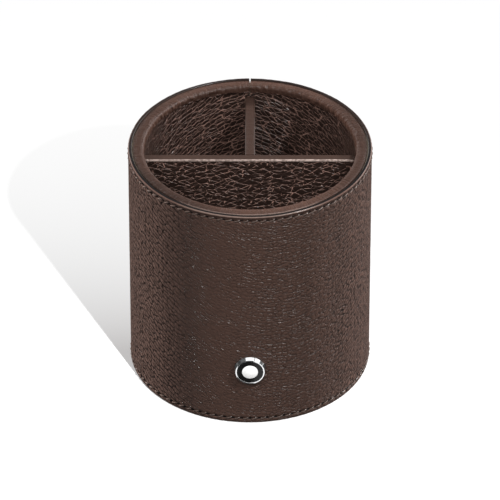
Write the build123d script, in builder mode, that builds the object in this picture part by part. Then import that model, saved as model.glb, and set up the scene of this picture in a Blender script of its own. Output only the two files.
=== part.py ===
"""Leather-covered desk pen holder.

A stiff board tube stands on a board disc and carries everything. Grained leather wraps it outside, a
second leather lines it inside, and a smooth band is turned over its top edge. A cross divider on the
diameter and a centre divider behind it part the inside into one half-round and two quarter-round
compartments. Two rows of stitches run round the wrap, and a round metal badge is riveted low on the front.

The frame has its origin at the middle of the underside, with +Z up, the front towards -Y and the
wrap's seam at the back, towards +Y. All sizes are in millimetres.
"""

import math
import os

from build123d import *

os.makedirs("parts", exist_ok=True)

# Overall size
outer_diameter = 95.0
height = 99.5

# Layers of the wall, from the outside in
wrap_thickness = 1.4
core_thickness = 3.0
lining_thickness = 1.2

# Outer wrap: its edges and the butt seam at the back
wrap_lift = 0.3  # the cut edge stands this far above the desk, which the base pad touches
wrap_edge_round = 0.5
wrap_inner_edge_round = 0.3
wrap_seam_gap = 0.5
wrap_seam_round = 0.35

# Rim band over the top edge of the core
rim_thickness = 1.2
rim_groove = 0.45  # the dark gap between the band and the wrap
rim_lip_depth = 1.8  # how far the lip reaches down inside the core
rim_overhang = 0.5  # how far the lip stands in from the lining's face
rim_inner_round = 1.4
rim_outer_round = 0.4
rim_seam_gap = 0.2

# Bottom: pad, board and the soft floors of the compartments
base_pad_thickness = 1.2
base_pad_clearance = 0.3
base_pad_edge_round = 0.4
base_board_thickness = 3.0
floor_pad_thickness = 1.2
floor_pad_clearance = 0.25

# Dividers: a board inside a leather cover
divider_drop = 5.2  # top of the dividers, below the rim
board_thickness = 1.8
cover_thickness = 1.0
cover_edge_round = 0.8
tube_dado_depth = 1.2
base_slot_depth = 1.5
board_clearance = 0.05
lining_slot_clearance = 0.1
lining_seam_gap = 0.25

# Tenons of the centre board, through the cross board
tenon_height = 14.0
tenon_spacing = 42.0

# Stitches
stitch_inset = 2.1  # middle of the row, from the wrap's cut edge
stitch_pitch = 3.4
stitch_length = 2.7
stitch_slant = 10.0  # degrees from level
thread_diameter = 0.5
thread_clearance = 0.02
stitch_groove_depth = 0.25
stitch_groove_width = 1.2
stitch_groove_flare = 0.2

# Badge
badge_level = 26.1
badge_stand = 1.2  # the face, in front of the leather
bezel_diameter = 12.7
bezel_face_diameter = 11.4
bezel_edge_round = 0.12
inlay_diameter = 10.2
inlay_recess = 0.6
inlay_thickness = 0.5
dome_diameter = 6.2
dome_rise = 0.5
badge_clearance = 0.05
stud_diameter = 3.0
stud_tip = 0.1  # from the stud's end to the lining
washer_diameter = 7.0
washer_thickness = 0.6
washer_recess = 0.8

# Worked out from the sizes above
outer_radius = outer_diameter / 2
core_outer_radius = outer_radius - wrap_thickness
core_inner_radius = core_outer_radius - core_thickness
cavity_radius = core_inner_radius - lining_thickness
rim_outer_radius = core_outer_radius - rim_groove
rim_inner_radius = cavity_radius - rim_overhang
core_top = height - rim_thickness
lip_bottom = core_top - rim_lip_depth
floor_level = base_pad_thickness + base_board_thickness
divider_top = height - divider_drop
board_top = divider_top - cover_thickness
board_bottom = floor_level - base_slot_depth
board_reach = core_inner_radius + tube_dado_depth
cover_half = board_thickness / 2 + cover_thickness
dado_width = board_thickness + 2 * board_clearance
divider_middle = (floor_level + board_top) / 2
tenon_levels = [divider_middle - tenon_spacing / 2, divider_middle + tenon_spacing / 2]
badge_hole_radius = bezel_diameter / 2 + badge_clearance
badge_seat = math.sqrt(core_outer_radius**2 - badge_hole_radius**2)  # flat seat, from the Z axis
badge_front = outer_radius + badge_stand
inlay_seat = badge_front - inlay_recess
washer_seat = core_inner_radius + washer_recess
stud_end = core_inner_radius + stud_tip
groove_floor_radius = outer_radius - stitch_groove_depth
stitch_radius = groove_floor_radius + thread_diameter / 2 + thread_clearance
stitch_count = round(2 * math.pi * outer_radius / stitch_pitch)
stitch_start = 90 + 180 / stitch_count  # the seam lies between two stitches
stitch_levels = {
    "top_stitching": height - stitch_inset,
    "bottom_stitching": wrap_lift + stitch_inset,
}

badge_axis = Axis((0, 0, badge_level), (0, 1, 0))
badge_face = Plane(origin=(0, -outer_radius, badge_level), x_dir=(1, 0, 0), z_dir=(0, -1, 0))


def write(piece, name):
    """Labels a finished piece with its node name and writes its STEP file."""
    piece.part.label = name
    export_step(piece.part, f"parts/{name}.step")


# Core tube: stiff board. Its inner face has three dados for the divider boards, and its front a flat
# seat, a hole and a counterbore for the badge.
with BuildPart() as core_tube:
    with BuildSketch(Plane.XY.offset(base_pad_thickness)):
        Circle(core_outer_radius)
        Circle(core_inner_radius, mode=Mode.SUBTRACT)
    extrude(amount=core_top - base_pad_thickness)
    with BuildSketch(Plane.XY.offset(board_bottom)):
        Rectangle(2 * (board_reach + board_clearance), dado_width)
        Rectangle(dado_width, board_reach + board_clearance, align=(Align.CENTER, Align.MIN))
    extrude(amount=core_top - board_bottom, mode=Mode.SUBTRACT)
    with BuildSketch(badge_face.offset(badge_seat - outer_radius)):
        Circle(badge_hole_radius)
    extrude(amount=outer_radius - badge_seat, mode=Mode.SUBTRACT)
    with Locations(badge_face):
        Hole(stud_diameter / 2 + badge_clearance, depth=wrap_thickness + 2 * core_thickness)
    with BuildSketch(badge_face.offset(washer_seat - outer_radius)):
        Circle(washer_diameter / 2 + badge_clearance)
    extrude(amount=-2 * core_thickness, mode=Mode.SUBTRACT)
write(core_tube, "core_tube")

# Base board: a disc glued into the foot of the tube, with slots that the divider boards stand in.
with BuildPart() as base_board:
    with BuildSketch(Plane.XY.offset(base_pad_thickness)):
        Circle(core_inner_radius)
    extrude(amount=base_board_thickness)
    with BuildSketch(Plane.XY.offset(floor_level)):
        Rectangle(2 * board_reach, dado_width)
        Rectangle(dado_width, board_reach, align=(Align.CENTER, Align.MIN))
    extrude(amount=-base_slot_depth, mode=Mode.SUBTRACT)
write(base_board, "base_board")

# Base pad: the suede disc that touches the desk.
with BuildPart() as base_pad:
    with BuildSketch():
        Circle(core_outer_radius - base_pad_clearance)
    extrude(amount=base_pad_thickness)
    fillet(base_pad.edges().group_by(Axis.Z)[0], radius=base_pad_edge_round)
write(base_pad, "base_pad")

# Outer wrap: one sheet of grained leather round the core, with a shallow groove for each row of
# stitches, a butt seam at the back and the badge's hole in front.
with BuildPart() as outer_wrap:
    with BuildSketch(Plane.XZ) as wrap_section:
        with Locations((core_outer_radius, wrap_lift)):
            Rectangle(wrap_thickness, height - wrap_lift, align=(Align.MIN, Align.MIN))
        fillet(wrap_section.vertices().group_by(Axis.X)[-1], radius=wrap_edge_round)
        top_inner_corner = wrap_section.vertices().group_by(Axis.X)[0].sort_by(Axis.Y)[-1]
        fillet(top_inner_corner, radius=wrap_inner_edge_round)
        for level in stitch_levels.values():
            with BuildLine():
                Polyline(
                    (outer_radius, level - stitch_groove_width / 2 - stitch_groove_flare),
                    (groove_floor_radius, level - stitch_groove_width / 2),
                    (groove_floor_radius, level + stitch_groove_width / 2),
                    (outer_radius, level + stitch_groove_width / 2 + stitch_groove_flare),
                    close=True,
                )
            make_face(mode=Mode.SUBTRACT)
    revolve(axis=Axis.Z)
    with BuildSketch(Plane.XY.offset(wrap_lift)):
        Rectangle(wrap_seam_gap, 2 * outer_radius, align=(Align.CENTER, Align.MIN))
    extrude(amount=height, mode=Mode.SUBTRACT)
    with BuildSketch(Plane.XY.offset(wrap_lift)):
        with Locations((0, outer_radius)):
            Rectangle(wrap_seam_gap + 2 * wrap_seam_round, wrap_seam_gap + 2 * wrap_seam_round, rotation=45)
    extrude(amount=height, mode=Mode.SUBTRACT)
    with Locations(badge_face):
        Hole(badge_hole_radius, depth=outer_radius - badge_seat + wrap_thickness)
write(outer_wrap, "outer_wrap")

# Rim band: a smooth leather strip over the core's top edge. Its lip turns down inside and closes on
# the lining, and its ends meet at the back.
with BuildPart() as rim_band:
    with BuildSketch(Plane.XZ) as rim_section:
        with BuildLine():
            Polyline(
                (core_inner_radius, lip_bottom),
                (rim_inner_radius, lip_bottom),
                (rim_inner_radius, height),
                (rim_outer_radius, height),
                (rim_outer_radius, core_top),
                (core_inner_radius, core_top),
                close=True,
            )
        make_face()
        rim_corners = rim_section.vertices().group_by(Axis.Y)[-1].sort_by(Axis.X)
        fillet(rim_corners[0], radius=rim_inner_round)
        fillet(rim_corners[-1], radius=rim_outer_round)
    revolve(axis=Axis.Z)
    with BuildSketch(Plane.XY.offset(lip_bottom)):
        Rectangle(rim_seam_gap, 2 * outer_radius, align=(Align.CENTER, Align.MIN))
    extrude(amount=height - lip_bottom, mode=Mode.SUBTRACT)
write(rim_band, "rim_band")

# Wall lining: grained leather round the inside, from the base board up to the rim band's lip. The
# dividers reach the core through three slots that are open at the foot.
with BuildPart() as wall_lining:
    with BuildSketch(Plane.XY.offset(floor_level)):
        Circle(core_inner_radius)
        Circle(cavity_radius, mode=Mode.SUBTRACT)
    extrude(amount=lip_bottom - floor_level)
    slot_width = 2 * (cover_half + lining_slot_clearance)
    with BuildSketch(Plane.XY.offset(floor_level)):
        Rectangle(2 * core_inner_radius, slot_width)
        Rectangle(slot_width, core_inner_radius, align=(Align.CENTER, Align.MIN))
    extrude(amount=divider_top + lining_slot_clearance - floor_level, mode=Mode.SUBTRACT)
    with BuildSketch(Plane.XY.offset(floor_level)):
        Rectangle(lining_seam_gap, core_inner_radius, align=(Align.CENTER, Align.MIN))
    extrude(amount=lip_bottom - floor_level, mode=Mode.SUBTRACT)
write(wall_lining, "wall_lining")

# Cross board: runs along the diameter, from dado to dado, with two mortises for the centre board.
with BuildPart() as cross_board:
    with BuildSketch(Plane.XZ):
        with Locations((0, board_bottom)):
            Rectangle(2 * board_reach, board_top - board_bottom, align=(Align.CENTER, Align.MIN))
        with Locations(*[(0, level) for level in tenon_levels]):
            Rectangle(dado_width, tenon_height + 2 * board_clearance, mode=Mode.SUBTRACT)
    extrude(amount=board_thickness / 2, both=True)
write(cross_board, "cross_board")

# Centre board: from the cross board to the back of the tube, with two tenons at its front edge.
with BuildPart() as centre_board:
    with BuildSketch(Plane.YZ):
        with Locations((cover_half, board_bottom)):
            Rectangle(board_reach - cover_half, board_top - board_bottom, align=(Align.MIN, Align.MIN))
        with Locations(*[(-board_thickness / 2, level) for level in tenon_levels]):
            Rectangle(cover_half + board_thickness, tenon_height, align=(Align.MIN, Align.CENTER))
    extrude(amount=board_thickness / 2, both=True)
write(centre_board, "centre_board")

# Cross cover: leather folded over the cross board, as an inverted U. Its ends follow the tube, and
# the tenons pass through two slits in its rear leaf.
with BuildPart() as cross_cover:
    with BuildSketch(Plane.YZ) as cross_section:
        with Locations((0, floor_level)):
            Rectangle(2 * cover_half, divider_top - floor_level, align=(Align.CENTER, Align.MIN))
        fillet(cross_section.vertices().group_by(Axis.Y)[-1], radius=cover_edge_round)
        with Locations((0, floor_level)):
            Rectangle(
                board_thickness,
                board_top - floor_level,
                align=(Align.CENTER, Align.MIN),
                mode=Mode.SUBTRACT,
            )
    extrude(amount=core_inner_radius, both=True)
    with BuildSketch(Plane.XY.offset(floor_level)):
        Circle(core_inner_radius)
    extrude(amount=divider_top - floor_level, mode=Mode.INTERSECT)
    with BuildSketch(Plane.XZ.offset(-cover_half)):
        with Locations(*[(0, level) for level in tenon_levels]):
            Rectangle(dado_width, tenon_height + 2 * board_clearance)
    extrude(amount=cover_thickness, mode=Mode.SUBTRACT)
write(cross_cover, "cross_cover")

# Centre cover: the same fold over the centre board, from the cross cover to the tube.
with BuildPart() as centre_cover:
    with BuildSketch(Plane.XZ.offset(-cover_half)) as centre_section:
        with Locations((0, floor_level)):
            Rectangle(2 * cover_half, divider_top - floor_level, align=(Align.CENTER, Align.MIN))
        fillet(centre_section.vertices().group_by(Axis.Y)[-1], radius=cover_edge_round)
        with Locations((0, floor_level)):
            Rectangle(
                board_thickness,
                board_top - floor_level,
                align=(Align.CENTER, Align.MIN),
                mode=Mode.SUBTRACT,
            )
    extrude(amount=cover_half - core_inner_radius)
    with BuildSketch(Plane.XY.offset(floor_level)):
        Circle(core_inner_radius)
    extrude(amount=divider_top - floor_level, mode=Mode.INTERSECT)
write(centre_cover, "centre_cover")

# Floor pads: suede on the base board, one in each compartment, cut clear of the lining and dividers.
pad_radius = cavity_radius - floor_pad_clearance
pad_edge = cover_half + floor_pad_clearance

with BuildPart() as front_floor_pad:
    with BuildSketch(Plane.XY.offset(floor_level)):
        Circle(pad_radius)
        with Locations((0, -pad_edge)):
            Rectangle(2 * pad_radius, 2 * pad_radius, align=(Align.CENTER, Align.MIN), mode=Mode.SUBTRACT)
    extrude(amount=floor_pad_thickness)
write(front_floor_pad, "front_floor_pad")

with BuildPart() as rear_left_floor_pad:
    with BuildSketch(Plane.XY.offset(floor_level)):
        Circle(pad_radius)
        with Locations((-pad_edge, pad_edge)):
            Rectangle(pad_radius, pad_radius, align=(Align.MAX, Align.MIN), mode=Mode.INTERSECT)
    extrude(amount=floor_pad_thickness)
write(rear_left_floor_pad, "rear_left_floor_pad")

with BuildPart() as rear_right_floor_pad:
    with BuildSketch(Plane.XY.offset(floor_level)):
        Circle(pad_radius)
        with Locations((pad_edge, pad_edge)):
            Rectangle(pad_radius, pad_radius, align=(Align.MIN, Align.MIN), mode=Mode.INTERSECT)
    extrude(amount=floor_pad_thickness)
write(rear_right_floor_pad, "rear_right_floor_pad")

# One stitch: a short length of thread with rounded ends, lying along Y and slanted about X.
with BuildPart() as stitch:
    with BuildSketch(Plane.XY):
        SlotOverall(stitch_length, thread_diameter, rotation=90)
        Rectangle(thread_diameter, stitch_length, align=(Align.MAX, Align.CENTER), mode=Mode.SUBTRACT)
    revolve(axis=Axis.Y)
slanted_stitch = stitch.part.rotate(Axis.X, stitch_slant)

# Stitch rows: the stitches lie in the wrap's two grooves, evenly spaced from the seam.
for row_name, row_level in stitch_levels.items():
    with BuildPart(Plane.XY.offset(row_level)) as stitch_row:
        with PolarLocations(stitch_radius, stitch_count, start_angle=stitch_start):
            add(slanted_stitch)
    write(stitch_row, row_name)

# Badge bezel: a turned metal cup with a stud behind. It sits flat on the core and holds the inlay.
with BuildPart() as badge_bezel:
    with BuildSketch(Plane.XY.offset(badge_level)) as bezel_section:
        with BuildLine():
            Polyline(
                (0, -stud_end),
                (stud_diameter / 2, -stud_end),
                (stud_diameter / 2, -badge_seat),
                (bezel_diameter / 2, -badge_seat),
                (bezel_diameter / 2, -outer_radius),
                (bezel_face_diameter / 2, -badge_front),
                (inlay_diameter / 2 + badge_clearance, -badge_front),
                (inlay_diameter / 2 + badge_clearance, -inlay_seat),
                (0, -inlay_seat),
                close=True,
            )
        make_face()
        fillet(bezel_section.vertices().group_by(Axis.Y)[0], radius=bezel_edge_round)
    revolve(axis=badge_axis)
write(badge_bezel, "badge_bezel")

# Badge inlay: a dark enamelled ring on the bezel's floor, round the dome.
with BuildPart() as badge_inlay:
    with BuildSketch(badge_face.offset(inlay_seat - outer_radius)):
        Circle(inlay_diameter / 2)
        Circle(dome_diameter / 2 + badge_clearance, mode=Mode.SUBTRACT)
    extrude(amount=inlay_thickness)
write(badge_inlay, "badge_inlay")

# Badge dome: a plain white button in the middle of the inlay.
with BuildPart() as badge_dome:
    with BuildSketch(Plane.XY.offset(badge_level)):
        with BuildLine():
            dome_edge = inlay_seat + inlay_thickness
            Polyline(
                (0, -dome_edge - dome_rise),
                (0, -inlay_seat),
                (dome_diameter / 2, -inlay_seat),
                (dome_diameter / 2, -dome_edge),
            )
            dome_crown_radius = ((dome_diameter / 2) ** 2 + dome_rise**2) / (2 * dome_rise)
            CenterArc(
                (0, dome_crown_radius - dome_edge - dome_rise),
                dome_crown_radius,
                -90,
                math.degrees(math.asin(dome_diameter / 2 / dome_crown_radius)),
            )
        make_face()
    revolve(axis=badge_axis)
write(badge_dome, "badge_dome")

# Badge washer: the stud is riveted over it, in a counterbore inside the core.
with BuildPart() as badge_washer:
    with BuildSketch(badge_face.offset(washer_seat - outer_radius)):
        Circle(washer_diameter / 2)
        Circle(stud_diameter / 2 + badge_clearance, mode=Mode.SUBTRACT)
    extrude(amount=-washer_thickness)
write(badge_washer, "badge_washer")

print(f"{stitch_count} stitches in each row")
print(f"cavity {2 * cavity_radius:.2f} across, rim opening {2 * rim_inner_radius:.2f} across")
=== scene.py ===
# %% [markdown]
# # A leather pen holder
#
# The real object is a desk cup. A stiff board tube is wrapped in grained leather, lined with a second
# leather, closed at the top by a smooth band and parted inside by two leather-covered dividers. The packed
# model already holds every piece at its real size, so this lesson only gives the pieces their skins: how
# each one bends, wrinkles and shines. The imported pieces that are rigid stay, with a finish of their own.

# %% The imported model
import math

import bpy
import numpy as np
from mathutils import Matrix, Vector


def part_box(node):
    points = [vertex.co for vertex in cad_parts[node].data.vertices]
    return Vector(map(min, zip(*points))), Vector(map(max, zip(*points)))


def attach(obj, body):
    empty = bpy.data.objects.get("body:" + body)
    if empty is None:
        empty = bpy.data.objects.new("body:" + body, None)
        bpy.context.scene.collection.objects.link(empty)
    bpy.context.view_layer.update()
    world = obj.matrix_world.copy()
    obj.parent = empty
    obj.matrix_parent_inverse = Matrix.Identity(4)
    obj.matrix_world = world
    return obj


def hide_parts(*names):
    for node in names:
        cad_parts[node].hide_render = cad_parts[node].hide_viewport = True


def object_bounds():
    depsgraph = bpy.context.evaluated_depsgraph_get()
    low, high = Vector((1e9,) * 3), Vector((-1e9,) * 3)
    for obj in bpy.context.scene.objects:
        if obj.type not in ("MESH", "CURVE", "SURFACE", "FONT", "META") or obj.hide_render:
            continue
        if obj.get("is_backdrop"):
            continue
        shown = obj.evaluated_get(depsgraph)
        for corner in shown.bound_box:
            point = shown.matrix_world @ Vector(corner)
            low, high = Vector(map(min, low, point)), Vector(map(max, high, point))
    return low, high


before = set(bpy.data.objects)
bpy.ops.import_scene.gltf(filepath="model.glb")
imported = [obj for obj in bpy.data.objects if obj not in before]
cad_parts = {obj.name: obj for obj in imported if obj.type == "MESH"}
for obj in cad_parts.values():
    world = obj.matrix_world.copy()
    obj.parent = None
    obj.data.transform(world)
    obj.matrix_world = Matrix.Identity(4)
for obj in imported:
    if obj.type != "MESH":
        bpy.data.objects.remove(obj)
cad_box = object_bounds()
print("the packed model holds", len(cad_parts), "nodes")

# %% [markdown]
# ## Sizes
#
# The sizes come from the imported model's boxes, and those that a box can't give are named here or where
# they are first used. The script thinks in millimetres, as the maker of such a cup does, and only the last
# step of making a mesh turns them into metres.

# %% Sizes, in millimetres
MM = 0.001


def reach(node):
    """How far a round piece reaches from the axis."""
    return round(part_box(node)[1].x / MM, 2)


def foot(node):
    """The lowest level of a piece."""
    return round(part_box(node)[0].z / MM, 2)


def top(node):
    """The highest level of a piece."""
    return round(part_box(node)[1].z / MM, 2)


HEIGHT = top("rim_band")
WRAP_OUTSIDE = reach("outer_wrap")
CORE_OUTSIDE = reach("core_tube")
BAND_OUTSIDE = reach("rim_band")
CORE_INSIDE = reach("wall_lining")
LINING_THICKNESS = 1.2
LIP_OVERHANG = 0.5
CAVITY = CORE_INSIDE - LINING_THICKNESS
BAND_INSIDE = CAVITY - LIP_OVERHANG
COVER_HALF = round(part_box("cross_cover")[1].y / MM, 2)
BOARD_HALF = round(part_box("cross_board")[1].y / MM, 2)
DIVIDER_TOP = top("cross_cover")
BADGE_LEVEL = (foot("badge_bezel") + top("badge_bezel")) / 2
BADGE_RADIUS = (top("badge_bezel") - foot("badge_bezel")) / 2
STITCH_PITCH = 3.4
STITCH_COUNT = round(2 * math.pi * WRAP_OUTSIDE / STITCH_PITCH)
STITCH_LEVELS = {row: (foot(row) + top(row)) / 2 for row in ("top_stitching", "bottom_stitching")}
SEAM = math.pi / 2
print(f"{2 * WRAP_OUTSIDE:.1f} mm across, {HEIGHT:.1f} mm tall, {STITCH_COUNT} stitches in each row")

# %% [markdown]
# ## The view
#
# The photograph was taken with a long lens from a little over a third of the way up to the zenith, so
# lines that are parallel stay nearly parallel. The camera stands far back and looks at the cup's middle.

# %% Camera
VIEW_DISTANCE = 2269.6
VIEW_ELEVATION = math.radians(35.84)
LENS = 414.3

camera = bpy.data.objects.new("camera", bpy.data.cameras.new("camera"))
bpy.context.scene.collection.objects.link(camera)
camera.data.lens = LENS
camera.data.sensor_width = 36.0
camera.data.clip_end = 20.0
camera.location = (
    0.0,
    -VIEW_DISTANCE * math.cos(VIEW_ELEVATION) * MM,
    (HEIGHT / 2 + VIEW_DISTANCE * math.sin(VIEW_ELEVATION)) * MM,
)
camera.rotation_euler = (math.pi / 2 - VIEW_ELEVATION, 0.0, 0.0)
bpy.context.scene.camera = camera
bpy.context.scene.view_settings.view_transform = "Standard"
print(f"the camera stands {VIEW_DISTANCE * MM:.2f} m away, with a lens of {LENS:.0f} mm")

# %% [markdown]
# ## Uneven by hand: noise and pebbles
#
# Leather is never even. Two patterns carry the relief that is modelled: a smooth random swell, and the
# pebbles of the grain. A pebble is the ground that lies nearest to one of many scattered points, and the
# creases run where two of them are equally near. A Displace modifier could do this too, but worked out as
# whole arrays the relief can answer to the stitches and the badge. The finest creases are left to the
# materials.


# %% Noise and pebbles
def eased(x):
    """The smoothstep curve: 0 up to 0, 1 from 1 on, and an S between."""
    x = np.clip(x, 0.0, 1.0)
    return x * x * (3.0 - 2.0 * x)


def bell(distance, width):
    """The bell curve e to the minus square of distance over width: 1 at 0, and 0.37 at the width."""
    return np.exp(-((distance / width) ** 2))


def swell(x, y, seed):
    """Random heights from -1 to 1 on the whole numbers of a plane, eased from one to the next."""
    x, y = x - x.min(), y - y.min()
    i, j = np.floor(x).astype(int), np.floor(y).astype(int)
    heights = np.random.default_rng(seed).uniform(-1.0, 1.0, (i.max() + 2, j.max() + 2))
    across, along = eased(x - i), eased(y - j)
    near = heights[i, j] * (1.0 - across) + heights[i + 1, j] * across
    far = heights[i, j + 1] * (1.0 - across) + heights[i + 1, j + 1] * across
    return near * (1.0 - along) + far * along


def pebbles(x, y, seed):
    """Second-nearest less nearest distance to points scattered one to a unit square: 0 in a crease."""
    x, y = x - x.min() + 1.0, y - y.min() + 1.0
    i, j = np.floor(x).astype(int), np.floor(y).astype(int)
    scatter = np.random.default_rng(seed).uniform(0.05, 0.95, (i.max() + 2, j.max() + 2, 2))
    nearest = np.full(x.shape, 9.0)
    second = np.full(x.shape, 9.0)
    for di in (-1, 0, 1):
        for dj in (-1, 0, 1):
            spot = scatter[i + di, j + dj]
            away = np.hypot(i + di + spot[..., 0] - x, j + dj + spot[..., 1] - y)
            second = np.minimum(second, np.maximum(nearest, away))
            nearest = np.minimum(nearest, away)
    return second - nearest


def hide_relief(u, v, width, height, seed):
    """Leather's relief, about -1 to 1: 0.7 of the pebbles, less their mean, and 0.5 of a slow swell.

    width and height are a pebble's. Places are first pushed about by up to half a pebble, by a swell that
    is a little over two pebbles wide."""
    bent_u = u + 0.5 * width * swell(u / (2.2 * width), v / (2.2 * height), seed + 1)
    bent_v = v + 0.5 * height * swell(u / (2.2 * width), v / (2.2 * height), seed + 2)
    grain = eased(pebbles(bent_u / width, bent_v / height, seed) / 0.45)
    slow = swell(u / (4.0 * width), v / (3.0 * height), seed + 3)
    return 0.7 * (grain - 0.6) + 0.5 * slow


# %% [markdown]
# ## A section carried along a path
#
# Each leather piece is a flat section, closed and with rounded corners, that is carried round the axis or
# along a divider. The section is first drawn very finely, and then walked along with a step that can
# differ from place to place: short steps where a stitch row or an edge needs them, long ones where
# nothing shows. A bevelled curve would carry a section too, but with the same steps everywhere.

# %% Sections
CORNER_POINTS = 25
FINE_STEP = 0.02


def section(corners, wanted_step):
    """Points, outward normals and arc lengths along a closed outline that runs anticlockwise.

    corners are (x, y, radius). Each becomes an arc about a centre that lies one radius inside both of its
    sides. wanted_step takes x and y arrays and gives the distance between points."""
    spots = np.array([c[:2] for c in corners], float)
    radii = np.array([c[2] for c in corners], float)
    ahead = np.roll(spots, -1, axis=0) - spots
    ahead /= np.linalg.norm(ahead, axis=1)[:, None]
    behind = np.roll(ahead, 1, axis=0)
    points, normals = [], []
    for spot, radius, before, after in zip(spots, radii, behind, ahead):
        turn = math.atan2(before[0] * after[1] - before[1] * after[0], before @ after)
        start = math.atan2(-before[0], before[1])
        angles = start + turn * np.linspace(0.0, 1.0, CORNER_POINTS)
        normal = np.stack([np.cos(angles), np.sin(angles)], axis=1)
        inset = radius * abs(math.tan(turn / 2)) * before
        side = math.copysign(1.0, turn)
        centre = spot - inset - side * radius * normal[0]
        points.append(centre + side * radius * normal)
        normals.append(normal)
    points = np.concatenate(points + [points[0][:1]])
    normals = np.concatenate(normals + [normals[0][:1]])
    arc = np.concatenate([[0.0], np.cumsum(np.linalg.norm(np.diff(points, axis=0), axis=1))])
    arc += np.arange(len(arc)) * 1e-9
    fine = np.linspace(0.0, arc[-1], int(arc[-1] / FINE_STEP))
    x, y, nx, ny = (np.interp(fine, arc, a) for a in (*points.T, *normals.T))
    walked = np.concatenate([[0.0], np.cumsum(np.diff(fine) / wanted_step(x, y)[1:])])
    stops = np.interp(np.linspace(0.0, walked[-1], int(walked[-1]) + 1), walked, fine)
    x, y, nx, ny = (np.interp(stops, fine, a) for a in (x, y, nx, ny))
    length = np.hypot(nx, ny)
    return np.stack([x, y], axis=1), np.stack([nx / length, ny / length], axis=1), stops


def linked(name, data):
    """An object for a mesh or a lamp, in the scene."""
    made = bpy.data.objects.new(name, data)
    bpy.context.scene.collection.objects.link(made)
    return made


def solid(name, corners, faces):
    """An object with those corners, in millimetres, and those faces."""
    mesh = bpy.data.meshes.new(name)
    mesh.from_pydata(np.array(corners) * MM, [], faces)
    return linked(name, mesh)


def skin(name, points, hide):
    """A mesh over points[path, section], whose last section column repeats the first.

    hide gives each point's place on the flat leather, in millimetres, as the UV map of that name. The
    first and the last section are closed by a face each."""
    paths, stops = points.shape[0], points.shape[1] - 1
    i, k = np.meshgrid(np.arange(paths - 1), np.arange(stops), indexing="ij")
    corner_i = np.stack([i, i + 1, i + 1, i], axis=-1).reshape(-1, 4)
    corner_k = np.stack([k, k, k + 1, k + 1], axis=-1).reshape(-1, 4)
    quads = corner_i * stops + corner_k % stops
    around = np.arange(stops)
    ends = [around.tolist(), ((paths - 1) * stops + around[::-1]).tolist()]
    flat = hide[corner_i, corner_k].reshape(-1, 2)
    flat = np.concatenate([flat, hide[0, around], hide[-1, around[::-1]]])
    piece = solid(name, points[:, :-1].reshape(-1, 3), quads.tolist() + ends)
    mesh = piece.data
    mesh.uv_layers.new(name="hide").data.foreach_set("uv", flat.astype(np.float32).ravel())
    mesh.shade_smooth()
    mesh.set_sharp_from_angle(angle=math.radians(60))
    mesh.update()
    triangles = sum(len(p.vertices) - 2 for p in mesh.polygons)
    print(f"{name}: {triangles} triangles")
    return piece


def dressed(piece, material, node):
    """Gives the piece its material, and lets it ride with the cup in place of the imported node."""
    piece.data.materials.clear()
    piece.data.materials.append(material)
    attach(piece, "root")
    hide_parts(node)


def carve(piece, cutter):
    """Takes the cutter's solid out of the piece, for good, and throws the cutter away."""
    cut = piece.modifiers.new("carve", "BOOLEAN")
    cut.operation = "DIFFERENCE"
    cut.solver = "MANIFOLD"
    cut.object = cutter
    carved = piece.evaluated_get(bpy.context.evaluated_depsgraph_get())
    piece.data = bpy.data.meshes.new_from_object(carved)
    piece.modifiers.clear()
    bpy.data.objects.remove(cutter)


# %% [markdown]
# ## Materials as sums
#
# A node tree is easier to read as a formula. A Wire wraps the output of a node, and arithmetic on wires
# adds the Math nodes. A Recipe is one material's tree, with a single method that adds any node.


# %% Wires
class Wire:
    """A node's output. Sums and products with it add Math nodes to its recipe."""

    def __init__(self, recipe, socket):
        self.recipe = recipe
        self.socket = socket

    def math(self, operation, other=0.0):
        """This value and another, through a Math node."""
        return self.recipe.node("ShaderNodeMath", {"operation": operation}, [self, other])

    def __add__(self, other):
        return self.math("ADD", other)

    def __sub__(self, other):
        return self.math("SUBTRACT", other)

    def __rsub__(self, other):
        return (self * -1.0).math("ADD", other)

    def __mul__(self, other):
        return self.math("MULTIPLY", other)

    def __truediv__(self, other):
        return self.math("DIVIDE", other)

    def __pow__(self, other):
        return self.math("POWER", other)

    def __abs__(self):
        return self.math("ABSOLUTE")

    __radd__ = __add__
    __rmul__ = __mul__

    def step(self, low, high):
        """0 below low, 1 above high, and a smooth S between. With low above high, it falls instead."""
        settings = {"interpolation_type": "SMOOTHSTEP"}
        names = {"Value": self, "From Min": low, "From Max": high}
        return self.recipe.node("ShaderNodeMapRange", settings, names)


def between(first, second, share):
    """A value on the way from the first to the second, by a share from 0 to 1."""
    return first + (second - first) * share


def scaled(colour, factor):
    """A colour made lighter or darker."""
    return tuple(c * factor for c in colour)


def looking_from(azimuth, elevation):
    """The unit vector towards a place in the sky, from angles in degrees."""
    a, e = math.radians(azimuth), math.radians(elevation)
    return math.cos(e) * math.cos(a), math.cos(e) * math.sin(a), math.sin(e)


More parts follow.
